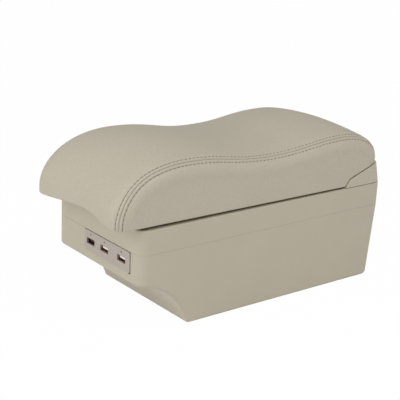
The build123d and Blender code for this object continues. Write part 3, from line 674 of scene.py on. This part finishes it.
stations = cross_stations()
print("lines from a seam to the middle:", len(stations))

# %% [markdown]
# The lines become a mesh: neighbouring points of neighbouring lines make the faces. Each point keeps
# three measures as attributes, along the seam, away from it, and whether the cover is free to swell
# there. Attributes are used because they stay with the points when the mesh is subdivided later.

# %% Top panel
sewn_reach = 0.0009


def grid_faces(rows, columns):
    faces = []
    for row in range(rows - 1):
        for column in range(columns - 1):
            a = row * columns + column
            faces.append((a + columns, a + columns + 1, a + 1, a))
    return faces


def make_mesh(name, points, faces, measures):
    mesh = bpy.data.meshes.new(name)
    mesh.from_pydata([tuple(p) for p in points], [], faces)
    for label, values in measures.items():
        layer = mesh.attributes.new(label, "FLOAT", "POINT")
        layer.data.foreach_set("value", np.asarray(values, dtype=np.float32))
    mesh.shade_smooth()
    piece = bpy.data.objects.new(name, mesh)
    bpy.context.scene.collection.objects.link(piece)
    return piece


def make_top_panel():
    places = [(d, -1) for d in stations] + [(None, 1)] + [(d, 1) for d in stations[::-1]]
    columns, alongs, frees = zip(*(top_line(distance, hand) for distance, hand in places))
    away = np.array([flat_half if distance is None else distance for distance, _ in places])
    measures = {
        "along": np.concatenate(alongs),
        "away": np.repeat(away, len(columns[0])),
        "free": np.concatenate(frees) * np.repeat(away > sewn_reach, len(columns[0])),
    }
    faces = grid_faces(len(columns), len(columns[0]))
    return make_mesh("lid_top_panel", np.concatenate(columns), faces, measures)


top_panel = make_top_panel()
print("top panel points:", len(top_panel.data.vertices))

# %% [markdown]
# ## Side panels
# A side panel starts at the seam and rolls down the rest of the shoulder, where its rows are strands
# as well. Its columns could be spaced evenly, but the edge climbs steeply round the hinge block, and
# a coarse grid would cut that corner. So the columns crowd together around the block's brow.

# %% Side panel shoulder
side_columns = 170
fine_places = 2000
brow_crowding = 2.5
brow_reach = 0.0090


def crowded_shares(line):
    """Places along a strand, closer together beside the hinge block."""
    even = np.linspace(0, 1, fine_places)
    spots, _, _ = along(line, even)
    weight = 1 + brow_crowding * np.exp(-(((spots[:, 1] - brow_y) / brow_reach) ** 2))
    total = np.concatenate([[0], np.cumsum((weight[1:] + weight[:-1]) / 2)])
    return np.interp(np.linspace(0, total[-1], side_columns), total, even)


side_way = np.full(len(seam_angle), math.pi / 2)
side_shares = crowded_shares(side_strand(side_way))
side_angles = [seam_angle + distance / shoulder for distance in seam_steps] + [side_way]
shoulder_rows = len(side_angles)
side_rows, side_alongs, side_turns = (
    list(parts) for parts in zip(*(along(side_strand(angle), side_shares) for angle in side_angles))
)
side_aways = [shoulder * (turn - side_turns[0]) for turn in side_turns]
print("rows on the shoulder:", shoulder_rows)

# %% [markdown]
# Below the shoulder the panel falls straight to the lower edge. Rows that all followed the outline
# would pile up under the humps, so they fan out instead: each row lies a share of the way from the
# lowest row of the shoulder to the edge.

# %% Side panel face
fan_shares = np.array([0.10, 0.22, 0.36, 0.52, 0.68, 0.84, 1.0])
fan_slant = 0.25
inner = side_rows[-1]
even_y = np.interp(side_shares, [0, 1], [inner[0, 1], inner[-1, 1]])
edge_y = inner[:, 1] + fan_slant * (even_y - inner[:, 1])
edge_rise = np.gradient(side_low(edge_y), edge_y)
edge_down = np.column_stack([np.zeros(side_columns), edge_rise, -np.ones(side_columns)])
edge_down /= np.linalg.norm(edge_down, axis=1)[:, None]
edge = np.column_stack([inner[:, 0], edge_y, side_low(edge_y)]) - edge_down * edge_round
edge[[0, -1]] = inner[[0, -1]]
for share in fan_shares:
    side_rows.append(inner + (edge - inner) * share)
    side_alongs.append(side_alongs[shoulder_rows - 1])
    fall = np.linalg.norm(side_rows[-1] - inner, axis=1)
    side_aways.append(side_aways[shoulder_rows - 1] + fall)
print("rows in all:", len(side_rows))

# %% [markdown]
# The whole lower border, from the nose seam round to the hinge seam, gets the same fold as the top
# panel's ends. At the nose it points forwards, at the hinge backwards and along the side outwards.

# %% Side panel lips
last_row = len(side_rows) - 1
last_column = side_columns - 1
border = [(row, 0) for row in range(shoulder_rows)]
border += [(last_row, column) for column in range(1, last_column)]
border += [(row, last_column) for row in reversed(range(shoulder_rows))]


def border_fold(row, column):
    if column == 0:
        outward, down = front_way(side_turns[row][column]), straight_down
    elif column == last_column:
        outward, down = rear_way(side_turns[row][column]), slope_down
    else:
        outward, down = np.array([1.0, 0.0, 0.0]), edge_down[column]
    return turned_edge(side_rows[row][column], outward, down, lip_width)


lips = [border_fold(row, column) for row, column in border]
print("folds round the side panel:", len(lips))

# %% [markdown]
# Grid and lips join to one mesh, and the left panel is the right one mirrored. At both ends the rows
# of the fan meet in one point, so doubled points are merged, and faces without an area vanish.

# %% Side panels
merge_distance = 1e-6
border_points = [row * side_columns + column for row, column in border]


def lip_faces(start):
    """Faces between neighbouring folds, whose points follow each other from the start index on."""
    faces = []
    folds = [[corner, *range(start + i * fold_points, start + (i + 1) * fold_points)]
             for i, corner in enumerate(border_points)]
    for first, second in zip(folds, folds[1:]):
        for step in range(fold_points):
            faces.append((first[step + 1], second[step + 1], second[step], first[step]))
    return faces


def side_measures():
    away, travel = np.concatenate(side_aways), np.concatenate(side_alongs)
    free = np.ones((len(side_rows), side_columns))
    free[:, [0, -1]] = 0
    free[-1] = 0
    free[np.array(side_aways)[:, side_columns // 2] < sewn_reach] = 0
    return {
        "along": np.concatenate([travel, np.repeat(travel[border_points], fold_points)]),
        "away": np.concatenate([away, np.repeat(away[border_points], fold_points)]),
        "free": np.concatenate([free.ravel(), np.zeros(len(border) * fold_points)]),
    }


def make_side_panel(name, hand):
    points = np.concatenate(side_rows + lips) * np.array([hand, 1, 1])
    faces = grid_faces(len(side_rows), side_columns) + lip_faces(len(side_rows) * side_columns)
    if hand < 0:
        faces = [face[::-1] for face in faces]
    piece = make_mesh(name, points, faces, side_measures())
    shape = bmesh.new()
    shape.from_mesh(piece.data)
    bmesh.ops.remove_doubles(shape, verts=shape.verts, dist=merge_distance)
    shape.to_mesh(piece.data)
    shape.free()
    return piece


side_panel_right = make_side_panel("lid_side_panel_right", 1)
side_panel_left = make_side_panel("lid_side_panel_left", -1)
panels = [top_panel, side_panel_left, side_panel_right]
print("side panel points:", len(side_panel_right.data.vertices))

# %% [markdown]
# ## Stuffing the panels
# Foam presses the sewn cover outwards, and only the seams and the turned edges hold it back.
# A Displace modifier would push every point equally. Blender's Cloth, with a pressure and a pinned
# border, swells most where the cover is free, as foam does. Foam gives little, so the swell is capped
# at about a millimetre and spread among neighbouring points, which takes wrinkles out of it.

# %% Stuffing
swell_cap = 0.0010
foam_pressure = 6.0
cloth_quality = 5
last_frame = 20
spread_rounds = 40
least_reach = 1e-9


def measure(mesh, label):
    values = np.zeros(len(mesh.vertices), dtype=np.float32)
    mesh.attributes[label].data.foreach_get("value", values)
    return values


def coordinates(mesh):
    values = np.zeros(len(mesh.vertices) * 3, dtype=np.float32)
    mesh.vertices.foreach_get("co", values)
    return values.reshape(-1, 3).astype(float)


def spread(mesh, moved, free):
    """The same swell without wrinkles, each point taking the mean of its neighbours in turn."""
    ends = np.array([edge.vertices[:] for edge in mesh.edges])
    neighbours = np.bincount(ends.ravel(), minlength=len(moved))[:, None]
    for _ in range(spread_rounds):
        total = np.zeros_like(moved)
        np.add.at(total, ends[:, 0], moved[ends[:, 1]])
        np.add.at(total, ends[:, 1], moved[ends[:, 0]])
        moved = total / neighbours * (free[:, None] > 0.5)
    return moved


def stuff(piece):
    free = measure(piece.data, "free")
    pins = piece.vertex_groups.new(name="sewn")
    pins.add([int(i) for i in np.nonzero(free < 0.5)[0]], 1.0, "REPLACE")
    cloth = piece.modifiers.new("stuffing", "CLOTH")
    cloth.settings.vertex_group_mass = "sewn"
    cloth.settings.use_pressure = True
    cloth.settings.uniform_pressure_force = foam_pressure
    cloth.settings.effector_weights.gravity = 0.0
    cloth.settings.quality = cloth_quality
    cloth.point_cache.frame_end = last_frame
    before = coordinates(piece.data)
    for step in range(1, last_frame + 1):
        bpy.context.scene.frame_set(step)
    swollen = piece.evaluated_get(bpy.context.evaluated_depsgraph_get())
    moved = coordinates(swollen.data) - before
    piece.modifiers.remove(cloth)
    piece.vertex_groups.remove(pins)
    bpy.context.scene.frame_set(1)
    reach = np.linalg.norm(moved, axis=1)
    moved *= (np.minimum(reach, swell_cap) / np.maximum(reach, least_reach))[:, None]
    moved = spread(piece.data, moved, free)
    piece.data.vertices.foreach_set("co", (before + moved).ravel())
    print(piece.name, "swelled by", round(1000 * float(reach.max()), 2), "mm, kept", 1000 * swell_cap)


for panel in panels:
    stuff(panel)
print("stuffed panels:", len(panels))

# %% [markdown]
# One level of subdivision then smooths each panel. The modifier could stay live, but the groove and
# the stitches are fitted to the smooth surface, so it is applied before they are made.

# %% Smooth panels
panel_level = 1


def apply_modifier(piece, kind, **settings):
    modifier = piece.modifiers.new(kind.lower(), kind)
    for name, value in settings.items():
        setattr(modifier, name, value)
    bpy.ops.object.select_all(action="DESELECT")
    piece.select_set(True)
    bpy.context.view_layer.objects.active = piece
    bpy.ops.object.modifier_apply(modifier=modifier.name)


for panel in panels:
    apply_modifier(panel, "SUBSURF", levels=panel_level, render_levels=panel_level)
    print(panel.name, "points", len(panel.data.vertices))

# %% [markdown]
# ## Seam groove and stitch troughs
# Where two panels meet, both edges are turned down, which leaves a narrow groove. A row of top
# stitching beside it on each panel pulls the leatherette into a shallow trough, with a small roll
# between the two. Below the seam the sides bulge a little, where the foam is not held down.
# All of this could be sculpted, but it follows from the distance to the seam that each point keeps.

# %% Seam groove
stitch_offset = 0.0035
groove_depth = 0.0006
groove_width = 0.0004
trough_depth = 0.00035
trough_width = 0.0009
roll_height = 0.0004
roll_width = 0.0010
bulge_height = 0.0011
bulge_place = 0.0118
bulge_width = 0.0056
bulge_fade = 0.0150


def ridge(distance, place, width):
    return np.exp(-(((distance - place) / width) ** 2))


def press_seam(piece, bulge):
    mesh = piece.data
    away, travel = measure(mesh, "away"), measure(mesh, "along")
    normals = np.zeros(len(mesh.vertices) * 3, dtype=np.float32)
    mesh.vertices.foreach_get("normal", normals)
    fade = np.clip(np.minimum(travel, travel.max() - travel) / bulge_fade, 0, 1) * measure(mesh, "free")
    lift = roll_height * ridge(away, stitch_offset / 2, roll_width)
    lift += bulge * fade * ridge(away, bulge_place, bulge_width)
    lift -= groove_depth * ridge(away, 0.0, groove_width)
    lift -= trough_depth * ridge(away, stitch_offset, trough_width)
    places = coordinates(mesh) + normals.reshape(-1, 3) * lift[:, None]
    mesh.vertices.foreach_set("co", places.ravel())
    mesh.update()
    print(piece.name, "pressed in by", round(-1000 * float(lift.min()), 2), "mm at the seam")


for panel, bulge in zip(panels, (0.0, bulge_height, bulge_height)):
    press_seam(panel, bulge)
    panel.data.materials.append(leatherette)

# %% [markdown]
# ## Stitches
# The thread comes up, lies on the leatherette for the length of a stitch and goes down again.
# A dashed line in the finish would look flat from the side, so each stitch is a real piece of thread.
# One is modelled from a thin cylinder: a cut in the middle gives it a crown, and its ends are drawn
# thin and pulled down. It has few faces, because it is copied hundreds of times.

# %% One stitch
thread_radius = 0.00029
thread_sides = 8
stitch_length = 0.0027
end_taper = 0.45
end_dip = 0.9
thread = grained("thread", linear(106, 93, 73), roughness=0.7, scale=3000.0, depth=0.00008)


def one_stitch():
    bpy.ops.object.select_all(action="DESELECT")
    bpy.ops.mesh.primitive_cylinder_add(
        vertices=thread_sides, radius=thread_radius, depth=stitch_length, rotation=(0, math.pi / 2, 0)
    )
    bpy.ops.object.transform_apply(location=True, rotation=True, scale=True)
    bpy.ops.object.mode_set(mode="EDIT")
    bpy.ops.mesh.select_all(action="SELECT")
    bpy.ops.mesh.bisect(plane_co=(0, 0, 0), plane_no=(1, 0, 0))
    bpy.ops.object.mode_set(mode="OBJECT")
    stitch = bpy.context.active_object
    for vertex in stitch.data.vertices:
        end = abs(vertex.co.x) / (stitch_length / 2)
        vertex.co.y *= 1 - end_taper * end
        vertex.co.z = vertex.co.z * (1 - end_taper * end) - end_dip * thread_radius * end
    points = coordinates(stitch.data)
    faces = [tuple(face.vertices) for face in stitch.data.polygons]
    bpy.data.objects.remove(stitch)
    return points, faces


stitch_points, stitch_faces = one_stitch()
print("faces of one stitch:", len(stitch_faces))

# %% [markdown]
# Copies of the stitch follow both sides of each seam. They could be spread by an Array and a Curve
# modifier, but those don't know how the stuffed panels lie. So each copy is dropped onto the panel
# along a ray and turned to its surface. Under the nose the stitches are longer, as they are sewn there.

# %% Stitch rows
stitch_pitch = 0.0046
stretch_places = [nose_y, crest[0] - 0.0250, crest[0] + 0.0100]
stretch_shares = [1.65, 1.65, 1.05]
row_end = -0.0010
ray_start = 0.0040
seat_height = 0.6 * thread_radius


def seam_row(turn, hand):
    """Points, headings and outward directions along one row, before it is seated on a panel."""
    line = side_strand(seam_angle + turn * stitch_offset / shoulder, edge_round + row_end, 0.0)
    count = int(line[1][-1] / stitch_pitch)
    spots, _, angle = along(line, (np.arange(count) + 0.5) / count)
    heading = np.gradient(spots, axis=0)
    heading /= np.linalg.norm(heading, axis=1)[:, None]
    up = np.cos(angle)
    outward = np.column_stack([np.sin(angle), -heading[:, 2] * up, heading[:, 1] * up])
    mirror = np.array([hand, 1, 1])
    return [[Vector(part * mirror) for part in parts] for parts in zip(spots, heading, outward)]


def seated(surface, spot, heading, outward):
    """The points of one stitch where it lies on the surface."""
    stretch = float(np.interp(spot.y, stretch_places, stretch_shares))
    seat, normal, _, _ = surface.ray_cast(spot + outward * ray_start, -outward)
    run = (heading - normal * heading.dot(normal)).normalized()
    turned = Matrix((run, normal.cross(run), normal)).transposed()
    return [seat + turned @ Vector((x * stretch, y, z + seat_height)) for x, y, z in stitch_points]


def sew(name, hand, side_panel):
    points, faces = [], []
    for panel, turn in ((top_panel, -1), (side_panel, 1)):
        corners = [vertex.co for vertex in panel.data.vertices]
        surface = BVHTree.FromPolygons(corners, [face.vertices for face in panel.data.polygons])
        for place in seam_row(turn, hand):
            faces += [tuple(len(points) + i for i in face) for face in stitch_faces]
            points += seated(surface, *place)
    piece = make_mesh(name, points, faces, {})
    piece.data.materials.append(thread)
    return piece


stitches_left = sew("lid_stitches_left", -1, side_panel_left)
stitches_right = sew("lid_stitches_right", 1, side_panel_right)
print("stitch faces:", len(stitches_left.data.polygons) + len(stitches_right.data.polygons))

# %% [markdown]
# ## Covers on the lid
# The panels get the thickness of leatherette inwards, which closes each of them. They take the
# place of the plain CAD covers and ride on the lid. The stitches ride on
# the lid as well, so that they swing open with it.

# %% Covers on the lid
cover_thickness = 0.0008
for panel, node in zip(panels, ("top_cover", "side_cover_left", "side_cover_right")):
    apply_modifier(panel, "SOLIDIFY", thickness=cover_thickness, offset=-1.0)
    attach(panel, "lid")
    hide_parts(node)
    print(panel.name, "faces", len(panel.data.polygons))
for stitches in (stitches_left, stitches_right):
    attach(stitches, "lid")

# %% [markdown]
# ## Floor
# The photograph shows the armrest on plain white, with hardly any shadow under it.
# A white floor in this light would still come out grey. So a Mix Shader lets it glow white to the
# camera and in reflections, while it stays a plain floor for the light that it throws back.

# %% Floor
floor_size = 6.0
floor_grey = (0.9, 0.9, 0.9, 1.0)
white = (1.0, 1.0, 1.0, 1.0)
white_share = 0.985
bpy.ops.object.select_all(action="DESELECT")
bpy.ops.mesh.primitive_plane_add(size=floor_size, location=(0, 0, 0))
floor = bpy.context.active_object
floor.name = "floor"
floor_finish = Finish("floor_white", floor_grey, Roughness=0.9)
camera_ray, glossy_ray, glass_ray = (
    floor_finish.node("ShaderNodeLightPath", output=name)
    for name in ("Is Camera Ray", "Is Glossy Ray", "Is Transmission Ray")
)
glow = floor_finish.node("ShaderNodeEmission", None, {"Color": white})
seen = (camera_ray + glossy_ray + glass_ray) * white_share
plain_floor = Signal(floor_finish.shader.outputs[0])
mixed = floor_finish.node("ShaderNodeMixShader", None, {0: seen, 1: plain_floor, 2: glow})
floor_finish.feed(floor_finish.tree.nodes["Material Output"].inputs[0], mixed)
floor.data.materials.append(floor_finish.material)
print("floor of", floor_size, "m")

# %% [markdown]
# ## Light and background
# The light in the photograph is soft and even, a little stronger from the front and from high on the right.
# A picture of a studio could light the scene, but it would be one more file. An even world gives the
# soft part, and two large lamps give it direction. To the camera the world is plain white.

# %% Light and background
world_light = 0.44
lamp_size = 1.2
lamp_aim = Vector((0, 0, 0.1))
world = bpy.data.worlds.new("studio")
bpy.context.scene.world = world
world.use_nodes = True
studio = NodeTree(world.node_tree)
sky = world.node_tree.nodes["Background"]
sky.inputs["Color"].default_value = white
camera_ray = studio.node("ShaderNodeLightPath", output="Is Camera Ray")
studio.feed(sky.inputs["Strength"], world_light + camera_ray * (1 - world_light))


def soft_lamp(name, place, watts):
    data = bpy.data.lights.new(name, "AREA")
    data.size = lamp_size
    data.energy = watts
    lamp = bpy.data.objects.new(name, data)
    turn = (place - lamp_aim).to_track_quat("Z", "Y").to_matrix().to_4x4()
    lamp.matrix_world = Matrix.Translation(place) @ turn
    bpy.context.scene.collection.objects.link(lamp)
    print(name, watts, "W")


soft_lamp("front_lamp", Vector((-0.3, -1.5, 0.65)), 10.0)
soft_lamp("side_lamp", Vector((0.95, -0.1, 1.4)), 12.5)
